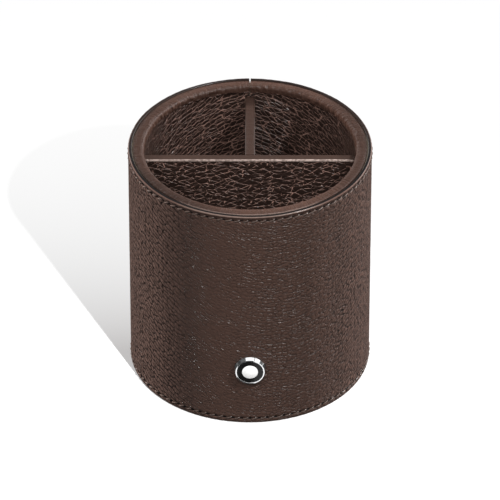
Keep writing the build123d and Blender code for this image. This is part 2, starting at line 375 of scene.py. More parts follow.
# %% Recipes
class Recipe:
    """One node tree: a material's, or the world's."""

    def __init__(self, holder):
        holder.use_nodes = True
        self.holder = holder
        self.tree = holder.node_tree
        self.tree.nodes.clear()

    def node(self, kind, settings=None, sockets=(), output=0):
        """Adds a node, sets it up, feeds its sockets by name or by order, and returns one output."""
        made = self.tree.nodes.new(kind)
        for key, value in (settings or {}).items():
            setattr(made, key, value)
        pairs = sockets.items() if isinstance(sockets, dict) else enumerate(sockets)
        for key, value in pairs:
            found = self.find(made.inputs, key)
            if isinstance(value, Wire):
                self.tree.links.new(value.socket, found)
            else:
                found.default_value = value
        return Wire(self, self.find(made.outputs, output)) if made.outputs else made

    @staticmethod
    def find(sockets, key):
        """The socket of that number, or of that identifier or, failing that, of that name."""
        if isinstance(key, int):
            return sockets[key]
        named = [s for s in sockets if s.identifier == key] or [s for s in sockets if s.name == key]
        return named[0]

    def place(self, kind="Object"):
        """The shaded point's place, in metres from the object's origin."""
        return self.node("ShaderNodeTexCoord", None, (), kind)

    def hide(self):
        """The shaded point's place on the flat leather, in millimetres."""
        return self.node("ShaderNodeUVMap", {"uv_map": "hide"})

    def ray(self, kind):
        """1 where a ray of that kind sees the surface, and 0 elsewhere."""
        return self.node("ShaderNodeLightPath", None, (), f"Is {kind} Ray")

    def part(self, vector, number):
        """A vector's first, second or third part: number 0, 1 or 2."""
        return self.node("ShaderNodeSeparateXYZ", None, [vector], number)

    def millimetres(self, number):
        """The shaded point's x, y or z, in millimetres: number 0, 1 or 2."""
        return self.part(self.place(), number) / MM

    def vector(self, operation, *values, output=0):
        """A Vector Math node."""
        return self.node("ShaderNodeVectorMath", {"operation": operation}, values, output)

    def times(self, vector, factor):
        """A vector or a colour times a factor."""
        sockets = {"Vector": vector, "Scale": factor}
        return self.node("ShaderNodeVectorMath", {"operation": "SCALE"}, sockets)

    def from_above(self):
        """The shaded point's place in plan, in millimetres from the cup's axis."""
        return self.vector("MULTIPLY", self.place(), (1.0 / MM, 1.0 / MM, 0.0))

    def from_axis(self):
        """The shaded point's distance from the cup's axis, in millimetres."""
        return self.vector("LENGTH", self.from_above(), output="Value")

    def in_front(self, start, finish):
        """0 up to the level start on the way to the front, 1 from finish on, in millimetres along Y."""
        return self.part(self.from_above(), 1).step(-start, -finish)

    def mix(self, share, first, second):
        """A colour between two, by a share from 0 to 1."""
        first, second = (c if isinstance(c, Wire) else (*c, 1.0) for c in (first, second))
        sockets = {"Factor_Float": share, "A_Color": first, "B_Color": second}
        return self.node("ShaderNodeMix", {"data_type": "RGBA"}, sockets, "Result_Color")

    def mottled(self, share, colour, low, high):
        """A colour from low to high times as bright, by a share from 0 to 1."""
        return self.mix(share, scaled(colour, low), scaled(colour, high))

    def noise(self, place, size, detail=2.0, roughness=0.5, output=0):
        """Noise of that grain size, in the units of place."""
        sockets = {"Vector": place, "Scale": 1.0 / size, "Detail": detail, "Roughness": roughness}
        return self.node("ShaderNodeTexNoise", None, sockets, output)

    def cells(self, place, disorder=1.0, feature="DISTANCE_TO_EDGE", output="Distance"):
        """A flat Voronoi pattern of unit cells: the distance to the nearest edge between two of them.

        The feature F1 with the output Position gives the middle of the cell instead."""
        settings = {"voronoi_dimensions": "2D", "feature": feature}
        sockets = {"Vector": place, "Scale": 1.0, "Randomness": disorder}
        return self.node("ShaderNodeTexVoronoi", settings, sockets, output)

    def stretched(self, place, width, height):
        """Places counted in cells of that width and height."""
        sockets = {"Vector": place, "Scale": (width, height, 1.0)}
        return self.node("ShaderNodeMapping", {"vector_type": "TEXTURE"}, sockets)

    def bent(self, place, size, reach):
        """Places pushed about by noise of that grain size, by up to about that reach."""
        push = self.vector("SUBTRACT", self.noise(place, size, 1.0, output="Color"), (0.5, 0.5, 0.5))
        return self.vector("ADD", place, self.times(push, 2.0 * reach))

    def lowered(self, rise):
        """Places on the hide, with the rise of its rows taken out, so that each row lies level."""
        lift = self.node("ShaderNodeCombineXYZ", None, {"Y": rise})
        return self.vector("SUBTRACT", self.hide(), lift)

    def bump(self, height, depth):
        """A bump whose height of 1 stands that many millimetres out."""
        return self.node("ShaderNodeBump", None, {"Height": height, "Distance": depth * MM})

    def shader(self, **values):
        """The Principled surface, its sockets named with _ for a space. Gives the material."""
        sockets = {key.replace("_", " "): value for key, value in values.items()}
        self.output(self.node("ShaderNodeBsdfPrincipled", None, sockets))
        return self.holder

    def output(self, surface, kind="ShaderNodeOutputMaterial"):
        """Joins a surface to the tree's output."""
        self.node(kind, None, {"Surface": surface})
        print(f"{self.holder.name}: {len(self.tree.nodes)} nodes")


def recipe_for(name):
    """The recipe of a new material."""
    return Recipe(bpy.data.materials.new(name))


# %% [markdown]
# ## Grained leather
#
# Up close the hide is a pavement of small pebbles in rows. The creases that run along the rows are open,
# and those between one pebble and the next in its row are nearly shut. Longer wrinkles run over several
# pebbles. A photograph of leather would repeat and hold its own light, so a Voronoi texture is used: its
# distance to the nearest cell edge draws the creases, on places that are counted in pebbles and bent a
# little by noise. Where a place lies above or below the middle of its cell, the crease beside it runs
# along the row, and so the pattern knows the two kinds apart.


# %% Creases
def creases(recipe, level, cell, crease, across, long, uneven=0.55, floor=0.0, disorder=0.8):
    """How open the leather is between its pebbles, from 0 to 1, and how far each pebble domes up.

    level is the place on the hide once the slope of its rows is taken out, cell a pebble's width and
    height in millimetres, and crease a crease's half width in cells. Over the share floor of that half
    width, a crease is fully open. One that runs across the rows, at a pebble's left or right end, is only
    as open as across says, and the long wrinkles are as open as long says. Noise closes the creases here
    and there by the share uneven, and disorder is how far the cells stray from a plain grid."""
    spot = recipe.stretched(recipe.bent(level, 3.0 * cell[0], 0.45 * cell[1]), *cell)
    edge = recipe.cells(spot, disorder)
    middle = recipe.cells(spot, disorder, "F1", "Position")
    off = recipe.vector("ABSOLUTE", recipe.vector("SUBTRACT", spot, middle))
    lengthwise = (recipe.part(off, 1) - 0.8 * recipe.part(off, 0)).step(-0.12, 0.12)
    opening = (1.0 - edge.step(floor * crease, crease)) * between(across, 1.0, lengthwise)
    if long:
        long_bent = recipe.bent(level, 5.0 * cell[0], 1.2 * cell[1])
        wrinkle = recipe.cells(recipe.stretched(long_bent, 3.6 * cell[0], 1.7 * cell[1]))
        opening = opening.math("MAXIMUM", (1.0 - wrinkle.step(0.0, 0.6 * crease)) * long)
    unbroken = 1.0 - uneven * recipe.noise(level, 1.8, 1.0).step(0.58, 0.38)
    return opening * unbroken, edge.step(0.0, 0.5)


# %% Grained leather
PATCH_SIZE = 8.0
PORE_SIZE = 0.30
BLOTCH_SIZE = 25.0


def leather(
    recipe, colour, opening, dome, grain, depth, gloss, dull, specular, crease_light_and_shade, coats=(), matt=0.0
):
    """Leather's surface. Its height is a tenth of the domes and a little of the pores, less the creases,
    which are twice as deep in some patches as in others.

    depth is a crease's, in millimetres, where the grain is 1 and patches are open. gloss is a pebble's
    roughness, and dull what a crease adds to it, or any place where matt is 1. crease_light_and_shade is
    the colour's factor at a crease's bottom: below 1 a painted shade in the creases, above 1 a painted
    highlight on them. coats are pairs of (share, colour), each covering what came before."""
    hide = recipe.hide()
    patches = recipe.noise(hide, PATCH_SIZE).step(0.3, 0.7)
    pores = recipe.noise(hide, PORE_SIZE, 2.0, 0.6)
    height = 0.10 * dome + 0.03 * pores - opening * (0.45 + 0.45 * patches)
    lit = recipe.times(colour, 0.92 + 0.16 * recipe.noise(hide, BLOTCH_SIZE, 3.0))
    # The painted share of each crease: painted shade on the wrap, a painted highlight inside the cup.
    crease_paint_share = (opening * (grain ** 1.5)).math("MINIMUM", 1.0)
    shade = recipe.mix(crease_paint_share, lit, recipe.times(colour, crease_light_and_shade))
    for share, covering in coats:
        shade = recipe.mix(share, shade, covering)
    return recipe.shader(
        Base_Color=shade,
        Roughness=gloss + 0.08 * (pores - 0.5) + dull * crease_paint_share.math("MAXIMUM", matt),
        Normal=recipe.bump(height * grain, depth),
        Specular_IOR_Level=specular,
    )


# %% [markdown]
# ## Smooth leather
#
# The band over the rim is cut from smooth leather. It is drawn tight, so it only has faint pores, soft
# mottling and fine wrinkles that run across it. Noise on the flat hide, squeezed along the strip and drawn
# out across it, gives the wrinkles, and their light and shade are also painted into the colour. The band
# is painted darker at the two sides and most of all at the front left, as painted shade, and a painted
# highlight runs along its outer corner at the front.

# %% Smooth leather
# The direction from the axis in which the band's painted shade is darkest.
SHADED_AZIMUTH = 222.0
# Where the painted highlight on the front corners begins and is full, as shares of the radius.
HIGHLIGHT_FROM, HIGHLIGHT_FULLY = 0.75, 0.95


def smooth_leather(name, colour, gloss, specular, corner_highlight, outside):
    """Plain-surfaced leather: mottling and the cross wrinkles' painted light and shade vary the colour
    by up to 0.45 either way, and the sides and the front left are darkened as painted shade.

    worn is the colour of the painted highlight on its outer corner,
    which lies at the radius outside."""
    recipe = recipe_for(name)
    hide = recipe.hide()
    place = recipe.from_above()
    wrinkles = recipe.noise(recipe.stretched(hide, 0.8, 6.0), 1.0)
    pores = recipe.noise(hide, 0.25, 2.0, 0.6)
    mottle = recipe.noise(hide, 4.0, 3.0)
    # Painted shade: darker at the two sides, and darkest towards the front left.
    sides = abs(recipe.part(place, 0)).step(0.45 * outside, outside)
    front_left_share = recipe.vector("DOT_PRODUCT", place, looking_from(SHADED_AZIMUTH, 0.0), output="Value")
    painted_side_shade = (sides * 0.65).math("MAXIMUM", front_left_share.step(0.70 * outside, outside))
    # The mottling is the leather's own tone; the wrinkles' share paints their light and shade.
    shade = recipe.mottled(0.4 * mottle + 0.6 * wrinkles, colour, 0.55, 1.45)
    shade = recipe.mix(painted_side_shade * (0.6 + 0.5 * mottle), shade, scaled(colour, 0.35))
    # A painted highlight along the outer corner, at the front.
    corner = recipe.from_axis().step(outside - 0.45, outside - 0.20)
    facing = recipe.in_front(HIGHLIGHT_FROM * outside, HIGHLIGHT_FULLY * outside)
    shade = recipe.mix(corner * facing * (0.3 + 0.7 * wrinkles), shade, corner_highlight)
    return recipe.shader(
        Base_Color=shade,
        Roughness=gloss + 0.15 * (pores - 0.5),
        Normal=recipe.bump(0.7 * wrinkles + 0.3 * pores, 0.45),
        Specular_IOR_Level=specular,
    )


HIDE_BROWN = (0.073, 0.0405, 0.0308)
# A lighter brown for the wrap's sides: a painted sheen.
SHEEN_BROWN = (0.0770, 0.0460, 0.0370)
# The lining's brown, darkened as painted shade for the inside of the cup.
SHADED_LINING_BROWN = (0.0220, 0.0131, 0.0105)
BAND_BROWN = (0.0505, 0.0265, 0.0195)
# A lighter brown for the folds over the dividers' top edges, which lie in the light: painted light.
LIT_FOLD_BROWN = (0.040, 0.0228, 0.0175)
# The colour of the painted highlight on the front corners of the band and the wrap.
CORNER_HIGHLIGHT_BROWN = (0.24, 0.175, 0.15)
# The colour of the painted highlight on the covers' front corners.
FOLD_EDGE_HIGHLIGHT = (0.44, 0.35, 0.31)
# Black for the dyed cut edges, and painted shadow and shade at the holes and the creased line.
DYE_AND_SHADOW_BLACK = (0.006, 0.005, 0.005)
band_leather = smooth_leather("band_leather", BAND_BROWN, 0.34, 0.40, CORNER_HIGHLIGHT_BROWN, BAND_OUTSIDE)

# %% [markdown]
# ## The wrap's leather
#
# The wrap's leather isn't the same all over. Its rows of pebbles sag in an arc that is lowest a little to
# the right of the front and climbs more steeply on that side. At the front the grain is pressed nearly
# flat, with fine creases. To the left and right it opens into larger pebbles with wider creases, which
# close again towards the back. The creases are painted darker, as painted shade, most of all at the
# left and right, where the pebbles are also painted lighter, as a painted sheen. One pattern of creases
# can't change its size without tearing, so there are two, and a share that depends on the place leads
# from one to the other.
#
# The cut edges are dyed black. The needle holes, which part the stitches, are painted black as their
# painted shadow. A line was creased into the leather just inside each edge; it is painted dark, partly
# for its own colour and partly as painted shade in its groove. A painted highlight runs along the top
# corner at the front.

# %% Places on the wrap
FRONT = math.pi * WRAP_OUTSIDE
ROW_MIDDLE = sum(STITCH_LEVELS.values()) / 2
ROW_HALF = max(STITCH_LEVELS.values()) - ROW_MIDDLE

# Past the stitches, towards each edge: the edge itself, the line inside it and the middle of the holes.
EDGE_GAP = HEIGHT - max(STITCH_LEVELS.values())
TOOLED_LINE = EDGE_GAP - 0.85
HOLE_LINE = 0.08

# Round the wrap from the middle of its front, with the left negative: the lowest place of the rows' arc,
# how strongly it bends on each side and how far, and from where to where the grain changes.
SAG_PLACE = 13.0
LEFT_BEND, RIGHT_BEND = 0.0066, 0.0140
LEFT_BEND_REACH, RIGHT_BEND_REACH = 45.0, 25.0
LEFT_OPENS, RIGHT_OPENS = (-10.0, -42.0), (18.0, 52.0)
BACK_BEGINS = (58.0, 98.0)

wrap_recipe = recipe_for("pebbled_leather")
round_the_cup = wrap_recipe.part(wrap_recipe.hide(), 0)
from_front = round_the_cup - FRONT
past_row = abs(wrap_recipe.millimetres(2) - ROW_MIDDLE) - ROW_HALF
print(f"the wrap's edges lie {EDGE_GAP:.1f} mm past the stitches")

# %% Rows and grain
# The rows rise with the square of the distance from the arc's middle, and beyond the bend in a straight
# line that goes on from it.
arc = from_front - SAG_PLACE
right = arc.step(0.0, 1.0)
bowed = abs(arc).math("MINIMUM", between(LEFT_BEND_REACH, RIGHT_BEND_REACH, right))
rise = bowed * (2.0 * abs(arc) - bowed) * between(LEFT_BEND, RIGHT_BEND, right)
level = wrap_recipe.lowered(rise)

behind = abs(from_front).step(*BACK_BEGINS)
open_grain = from_front.step(*LEFT_OPENS) + from_front.step(*RIGHT_OPENS)
open_grain = open_grain * (1.0 - 0.45 * behind)
grain = 0.32 + 0.22 * from_front.step(-12.0, 12.0) + 1.2 * open_grain
grain = grain * past_row.step(EDGE_GAP - 0.5, EDGE_GAP - 1.2)

front_opening, dome = creases(wrap_recipe, level, (2.0, 1.5), crease=0.16, across=0.5, long=0.7)
side_crease = 0.18 + 0.05 * abs(from_front).step(40.0, 60.0) - 0.11 * behind
side_opening, _ = creases(
    wrap_recipe, level, (2.8, 2.0), crease=side_crease, across=0.25, long=0.0, uneven=0.2, floor=0.25
)

# %% Edges and holes
turns = round_the_cup * (STITCH_COUNT / (2 * math.pi * WRAP_OUTSIDE))
from_hole = abs((turns + 0.5).math("FRACT") - 0.5) * STITCH_PITCH
# Painted shadow: a black dash at each needle hole.
hole = from_hole.step(0.95, 0.45) * abs(past_row - HOLE_LINE).step(0.42, 0.22)
# The creased line inside each edge, painted dark: partly its colour, partly painted shade.
tooled = 0.7 * abs(past_row - TOOLED_LINE).step(0.30, 0.08)
# A painted highlight along the top corner of the wrap, at the front.
facing = wrap_recipe.in_front(HIGHLIGHT_FROM * WRAP_OUTSIDE, HIGHLIGHT_FULLY * WRAP_OUTSIDE)
corner_highlight = 0.6 * facing * past_row.step(EDGE_GAP - 0.45, EDGE_GAP - 0.30)
from_outside = WRAP_OUTSIDE - wrap_recipe.from_axis()
dyed = past_row.step(EDGE_GAP - 0.5, EDGE_GAP - 0.3) * from_outside.step(0.20, 0.38)
dyed = dyed * (0.85 + 0.15 * wrap_recipe.in_front(-0.3 * WRAP_OUTSIDE, 0.3 * WRAP_OUTSIDE))

outer_leather = leather(
    wrap_recipe,
    # Lighter at the sides: a painted sheen.
    wrap_recipe.mix(open_grain, HIDE_BROWN, SHEEN_BROWN),
    between(front_opening, side_opening, open_grain),
    dome,
    grain,
    depth=0.9,
    gloss=0.27,
    dull=0.6,
    specular=0.45,
    # Creases painted darker: painted shade.
    crease_light_and_shade=0.15,
    coats=((corner_highlight, CORNER_HIGHLIGHT_BROWN), (dyed, DYE_AND_SHADOW_BLACK), (hole.math("MAXIMUM", tooled), DYE_AND_SHADOW_BLACK)),
    matt=hole,
)

# %% [markdown]
# ## The lining's leather
#
# The lining and the covers are cut from a softer hide. Its colour is darkened as painted shade inside
# the cup, and its creases are painted far paler, as a painted highlight where light catches their edges.
# On the lining the rows fall on both sides of the front, and the creases are most open towards the seam.
# On the covers two sets of creases cross, one rising to the right and one falling. Where a cover is drawn
# over its divider's top edge, the grain is stretched out flat and the colour is painted lighter, as the
# fold lies in the light, and a painted highlight runs in dashes along the front corner, most of all on
# the right.

# %% The lining's leather
# The creases are painted 28 times as light as the pebbles: a painted highlight.
SOFT = dict(depth=0.45, gloss=0.30, dull=0.0, specular=0.6, crease_light_and_shade=28.0)
LINING_CREASES = dict(cell=(2.8, 1.8), crease=0.085, across=0.2, long=0.5)
LINING_SLOPE = 0.40
SEAM_SIDE = (84.0, 104.0)

lining_recipe = recipe_for("lining_leather")
from_front = lining_recipe.part(lining_recipe.hide(), 0) - math.pi * CORE_INSIDE
fall = -LINING_SLOPE * (from_front * from_front + 200.0).math("SQRT")
opening, dome = creases(lining_recipe, lining_recipe.lowered(fall), **LINING_CREASES)
opening = opening * (0.35 + 0.65 * abs(from_front).step(*SEAM_SIDE))
lining_leather = leather(lining_recipe, SHADED_LINING_BROWN, opening, dome, 1.0, **SOFT)

# %% The covers' leather
COVER_CREASES = dict(cell=(4.2, 2.2), crease=0.07, across=0.0, long=0.0, uneven=0.9, disorder=1.0)
COVER_SLOPE = 0.33

cover_recipe = recipe_for("cover_leather")
along_divider = cover_recipe.part(cover_recipe.hide(), 0)
rising, dome = creases(cover_recipe, cover_recipe.lowered(COVER_SLOPE * along_divider), **COVER_CREASES)
falling, _ = creases(cover_recipe, cover_recipe.lowered(-COVER_SLOPE * along_divider), **COVER_CREASES)
opening = rising.math("MAXIMUM", falling)
# The fold over the top edge is painted lighter, as it lies in the light.
fold = cover_recipe.millimetres(2).step(DIVIDER_TOP - 0.9, DIVIDER_TOP - 0.4)
# A painted highlight in dashes along the fold's front corner, fullest on the right.
front_corner = cover_recipe.millimetres(1).step(0.65 - COVER_HALF, 0.40 - COVER_HALF)
dashes = cover_recipe.noise(cover_recipe.hide(), 1.0).step(0.35, 0.65)
to_right = cover_recipe.millimetres(0).step(-30.0, 30.0)
fold_edge_highlight = fold * front_corner * (0.35 + 0.65 * dashes) * (0.7 + 0.3 * to_right)
coats = (fold, LIT_FOLD_BROWN), (fold_edge_highlight, FOLD_EDGE_HIGHLIGHT)
cover_leather = leather(cover_recipe, SHADED_LINING_BROWN, opening, dome, 1.0 - 0.88 * fold, coats=coats, **SOFT)

# %% [markdown]
# ## The outer wrap
#
# The wrap is one long strip, glued round the tube, whose ends meet at the back. Its section is the wall's
# own: a long thin rectangle with rounded outer corners. The relief pushes the outer face in and out, and
# each stitch pulls the leather down into a shallow channel, most of all at its holes. A cylinder with a
# Displace modifier could carry the grain, but not a channel whose holes meet the stitches.


# %% Round pieces
def turned(angles, radii, levels):
    """Points at those angles, radii and levels round the Z axis."""
    return np.stack([radii * np.cos(angles), radii * np.sin(angles), levels], axis=-1)


def carried_round(name, outline, gap, columns, relief, lift=None):
    """A wall's section, as (radius, level), carried round the axis from one side of the seam to the other.

    relief and lift take hide places u and v, radius, level and angle. relief pushes the surface out
    along the section's normal, and lift raises it, both in millimetres."""
    spots, normals, arc = outline
    outermost = spots[:, 0].max()
    half_gap = gap / 2 / outermost
    angles = np.linspace(SEAM + half_gap, SEAM + 2 * math.pi - half_gap, columns)
    angle, v = np.meshgrid(angles, arc, indexing="ij")
    radius, level = (np.broadcast_to(a, angle.shape) for a in spots.T)
    u = (angle - SEAM) * outermost
    push = relief(u, v, radius, level, angle)
    out = radius + push * normals[:, 0]
    up = level + push * normals[:, 1]
    if lift:
        up = up + lift(u, v, radius, level, angle)
    return skin(name, turned(angle, out, up), np.stack([u, v], axis=-1))


# %% The outer wrap
OPEN_STEP, ROW_STEP, EDGE_STEP, GLUED_STEP = 0.78, 0.25, 0.16, 9.0
WRAP_SEAM = 0.5
WRAP_PEBBLE = (2.5, 1.9)
PEBBLE_HEIGHT = 0.05
CHANNEL_DEPTH = 0.24
HOLE_DEPTH = 0.40
SHOULDER_HEIGHT = 0.10
BADGE_DIP = 0.20
EDGE_WAVE = 0.08


def nearest_row(levels):
    """The distance from each level to the nearer row of stitches."""
    return np.min([np.abs(levels - row) for row in STITCH_LEVELS.values()], axis=0)


def wrap_step(x, y):
    """Short steps by the stitch rows and at the edges, long ones on the hidden inner face."""
    edge = np.minimum(y - foot("outer_wrap"), HEIGHT - y)
    step = between(OPEN_STEP, ROW_STEP, eased((1.8 - nearest_row(y)) / 0.8))
    step = np.where(edge < 0.9, EDGE_STEP, step)
    return np.where((x < CORE_OUTSIDE + 0.2) & (edge > 0.9), GLUED_STEP, step)


def hole_distance(angles):
    """The distance from the nearest needle hole round the cup, in millimetres: holes part the stitches."""
    turns = (angles - SEAM) / (2 * math.pi) * STITCH_COUNT
    return np.abs((turns + 0.5) % 1.0 - 0.5) * STITCH_PITCH


def badge_distance(angle, level):
    """The distance over the leather from the badge's edge, and 0 under the badge."""
    round_the_cup = (angle - SEAM - math.pi) * WRAP_OUTSIDE
    return np.maximum(np.hypot(round_the_cup, level - BADGE_LEVEL) - BADGE_RADIUS, 0.0)


def wrap_relief(u, v, radius, level, angle):
    """Grain on the outer face, less a bell-shaped channel along the stitches and a deeper dip at each
    hole, with a low shoulder beside them, and less a dip where the badge presses."""
    row_gap = nearest_row(level)
    hole = hole_distance(angle)
    push = PEBBLE_HEIGHT * hide_relief(u, v, *WRAP_PEBBLE, 11) * eased(row_gap / 1.2)
    push -= CHANNEL_DEPTH * bell(row_gap, 0.5)
    push -= HOLE_DEPTH * bell(row_gap, 0.55) * bell(hole, 0.6)
    push += SHOULDER_HEIGHT * bell(row_gap - 1.2, 0.6) * eased(hole / 1.4)
    push -= BADGE_DIP * bell(badge_distance(angle, level), 0.8)
    return push * eased((radius - CORE_OUTSIDE - 0.5) / 0.7)


def wrap_lift(u, v, radius, level, angle):
    """The cut edge at the top isn't quite level."""
    return EDGE_WAVE * swell(u / 7.0, v / 400.0, 17) * eased((level - HEIGHT + 4.0) / 4.0)


wrap_corners = [
    (CORE_OUTSIDE, foot("outer_wrap"), 0.0),
    (WRAP_OUTSIDE, foot("outer_wrap"), 0.5),
    (WRAP_OUTSIDE, HEIGHT, 0.5),
    (CORE_OUTSIDE, HEIGHT, 0.3),
]
wrap_outline = section(wrap_corners, wrap_step)
wrap = carried_round("outer_wrap_leather", wrap_outline, WRAP_SEAM, 528, wrap_relief, wrap_lift)

# %% [markdown]
# The badge's hole is cut last, with a Boolean, because a grid can't hold a small circle. The Manifold
# solver takes a second on a mesh of this size, and it needs both meshes closed, which the end faces see to.

# %% The badge's hole
HOLE_PLAY = 0.05
HOLE_SIDES = 96


def cylinder(name, radius, start, finish, level):
    """A closed cylinder along Y at that level, to cut with."""
    around = np.linspace(0.0, 2 * math.pi, HOLE_SIDES, endpoint=False)
    rings = [
        np.stack([radius * np.cos(around), np.full(HOLE_SIDES, y), level + radius * np.sin(around)], axis=1)
        for y in (start, finish)
    ]
    pairs = [(k, (k + 1) % HOLE_SIDES) for k in range(HOLE_SIDES)]
    faces = [(k, HOLE_SIDES + k, HOLE_SIDES + after, after) for k, after in pairs]
    faces += [tuple(range(HOLE_SIDES)), tuple(range(HOLE_SIDES, 2 * HOLE_SIDES))[::-1]]
    return solid(name, np.concatenate(rings), faces)


carve(wrap, cylinder("badge_hole", BADGE_RADIUS + HOLE_PLAY, -60.0, -30.0, BADGE_LEVEL))
dressed(wrap, outer_leather, "outer_wrap")

# %% [markdown]
# ## The rim band
#
# A strip of smooth leather is turned over the top of the tube. Its outer edge stops short of the wrap, and
# its inner edge rolls down inside as a lip. Leather that is bent round a hoop has too much length on the
# inside, so the lip puckers, most of all towards the back, and fine wrinkles run across the band. A cloth
# simulation could pucker a strip, but swells that grow towards the lip come out the same each time.

# %% The rim band
BAND_SEAM = 0.2
CROWN = 0.26
PUCKER_HEIGHT = 0.22


def band_step(x, y):
    """Short steps on top and round the rolled inner corner, long ones where the band is glued down."""
    hidden = (y < HEIGHT - 1.1) & (x > CAVITY + 0.6)
    return np.where(hidden, 2.0, EDGE_STEP)


def band_relief(u, v, radius, level, angle):
    """A top that falls from its middle with the square of the distance, puckers along the lip, wrinkles
    across, which are higher at the two sides, and a slow swell."""
    middle, half = (BAND_INSIDE + BAND_OUTSIDE) / 2, (BAND_OUTSIDE - BAND_INSIDE) / 2
    loose = 0.2 + 0.8 * eased((np.sin(angle) + 0.45) / 0.9)
    side = np.abs(np.cos(angle)) ** 2
    inner = 1.0 - eased((radius - BAND_INSIDE - 0.5) / 1.5)
    puckers = swell(u / 1.5, v / 2.2, 23) + 0.6 * swell(u / 0.75, v / 1.2, 24)
    wrinkles = swell(u / 0.8, v / 7.0, 25)
    slow = swell(u / 9.0, v / 5.0, 26)
    crown = -CROWN * ((radius - middle) / half) ** 2 * (level > HEIGHT - 0.2)
    return crown + PUCKER_HEIGHT * loose * inner * puckers + (0.025 + 0.055 * side) * wrinkles + 0.05 * slow


LIP_FOOT = foot("rim_band")
BAND_FOOT = top("core_tube")
band_corners = [
    (BAND_INSIDE, LIP_FOOT, 0.3),
    (CORE_INSIDE, LIP_FOOT, 0.0),
    (CORE_INSIDE, BAND_FOOT, 0.0),
    (BAND_OUTSIDE, BAND_FOOT, 0.0),
    (BAND_OUTSIDE, HEIGHT, 0.4),
    (BAND_INSIDE, HEIGHT, 1.4),
]
band = carried_round("rim_band_leather", section(band_corners, band_step), BAND_SEAM, 1100, band_relief)
dressed(band, band_leather, "rim_band")

# %% [markdown]
# ## The lining
#
# The lining is the same kind of strip, seen from its other side. Its grain is larger and more creased
# than the wrap's. Three slots let the dividers through to the tube. They are cut with boxes, so that the
# strip can stay one even grid.

# %% The lining
LINING_SEAM = 0.25
SOFT_PEBBLE = (3.0, 2.3)
FLOOR = foot("wall_lining")
SLOT_HALF = COVER_HALF + 0.1
SLOT_REACH = (30.0, 50.0)


def lining_step(x, y):
    """Steps that lengthen downwards, where the wall lies in the dark, and long ones on the glued face."""
    depth = top("wall_lining") - y
    return np.where(x < CAVITY + 0.1, 0.42 + 0.006 * depth, GLUED_STEP)


def lining_relief(u, v, radius, level, angle):
    """Deep grain on the inner face."""
    return 0.15 * hide_relief(u, v, *SOFT_PEBBLE, 31) * eased((CAVITY + 0.4 - radius) / 0.4)


def box(name, low, high):
    """A closed box to cut with."""
    corners = [(x, y, z) for x in (low[0], high[0]) for y in (low[1], high[1]) for z in (low[2], high[2])]
    faces = [(0, 1, 3, 2), (4, 6, 7, 5), (0, 4, 5, 1), (2, 3, 7, 6), (0, 2, 6, 4), (1, 5, 7, 3)]
    return solid(name, corners, faces)


lining_corners = [
    (CAVITY, FLOOR, 0.0),
    (CORE_INSIDE, FLOOR, 0.0),
    (CORE_INSIDE, top("wall_lining"), 0.0),
    (CAVITY, top("wall_lining"), 0.0),
]
lining_outline = section(lining_corners, lining_step)
lining = carried_round("wall_lining_leather", lining_outline, LINING_SEAM, 520, lining_relief)
near, far = SLOT_REACH
slots = [
    ((near, -SLOT_HALF), (far, SLOT_HALF)),
    ((-far, -SLOT_HALF), (-near, SLOT_HALF)),
    ((-SLOT_HALF, near), (SLOT_HALF, far)),
]
for low, high in slots:
    carve(lining, box("slot", (*low, FLOOR - 1.0), (*high, DIVIDER_TOP + 0.1)))
dressed(lining, lining_leather, "wall_lining")

# %% [markdown]
# ## The dividers
#
# Each divider is a thin board with leather folded over its top edge. The fold is stretched, so the grain is
# pressed flat there and only fine cross wrinkles are left. The cross cover runs from wall to wall, and the
# centre cover from the cross cover to the back. Towards its right-hand end the cross cover's fold sinks a
# little, because the leather was trimmed short there. One function makes both: it carries the same folded
# section along a line, and is told where the line runs and where the fold sinks.


# %% The dividers
def cover_outline(foot_level):
    """The folded leather's section, as (across, level): an inverted U, anticlockwise."""
    board_top = top("cross_board")
    corners = [
        (COVER_HALF, foot_level, 0.0),
        (COVER_HALF, DIVIDER_TOP, 0.5),
        (-COVER_HALF, DIVIDER_TOP, 0.5),
        (-COVER_HALF, foot_level, 0.0),
        (-BOARD_HALF, foot_level, 0.0),
        (-BOARD_HALF, board_top, 0.0),
        (BOARD_HALF, board_top, 0.0),
        (BOARD_HALF, foot_level, 0.0),
    ]

    def step(x, y):
        """Short steps on the fold, longer ones down both faces, and long ones against the board."""
        shown = np.abs(x) > COVER_HALF - 0.05
        on_top = y > board_top + 0.4
        return np.where(on_top, 0.22, np.where(shown, 0.45 + 0.008 * (DIVIDER_TOP - y), 6.0))

    return section(corners, step)


def cover_relief(u, v, across, level, seed):
    """Deep grain on both faces, and fine cross wrinkles on the fold."""
    shown = eased((np.abs(across) - BOARD_HALF - 0.4) / 0.5)
    fold = eased((level - DIVIDER_TOP + 1.4) / 1.0)
    grain = 0.14 * hide_relief(u, v, *SOFT_PEBBLE, seed)
    wrinkles = 0.03 * swell(u / 0.7, v / 3.0, seed + 5) + 0.06 * swell(u / 6.0, v / 4.0, seed + 6)
    return np.where(fold > 0, fold * wrinkles + (1 - fold) * grain, grain * shown)


def cover(name, columns, along, seed, place, sink):
    """A cover whose section is carried along a line. along gives the place on the line from its share and
    the distance across, place turns along, across and level into points, and sink lowers the fold."""
    spots, normals, arc = cover_outline(foot("cross_cover"))
    share, v = np.meshgrid(np.linspace(0.0, 1.0, columns), arc, indexing="ij")
    across, level = (np.broadcast_to(a, share.shape) for a in spots.T)
    u = along(share, across)
    push = cover_relief(u, v, across, level, seed)
    lowered = sink(u) * eased((level - DIVIDER_TOP + 6.0) / 6.0)
    across = across + push * normals[:, 0]
    level = level + push * normals[:, 1] - lowered
    return skin(name, place(u, across, level), np.stack([u, v], axis=-1))


def wall_reach(across):
    """How far a divider's leather reaches at that distance from its middle plane."""
    return np.sqrt(CORE_INSIDE**2 - across**2) - 0.02


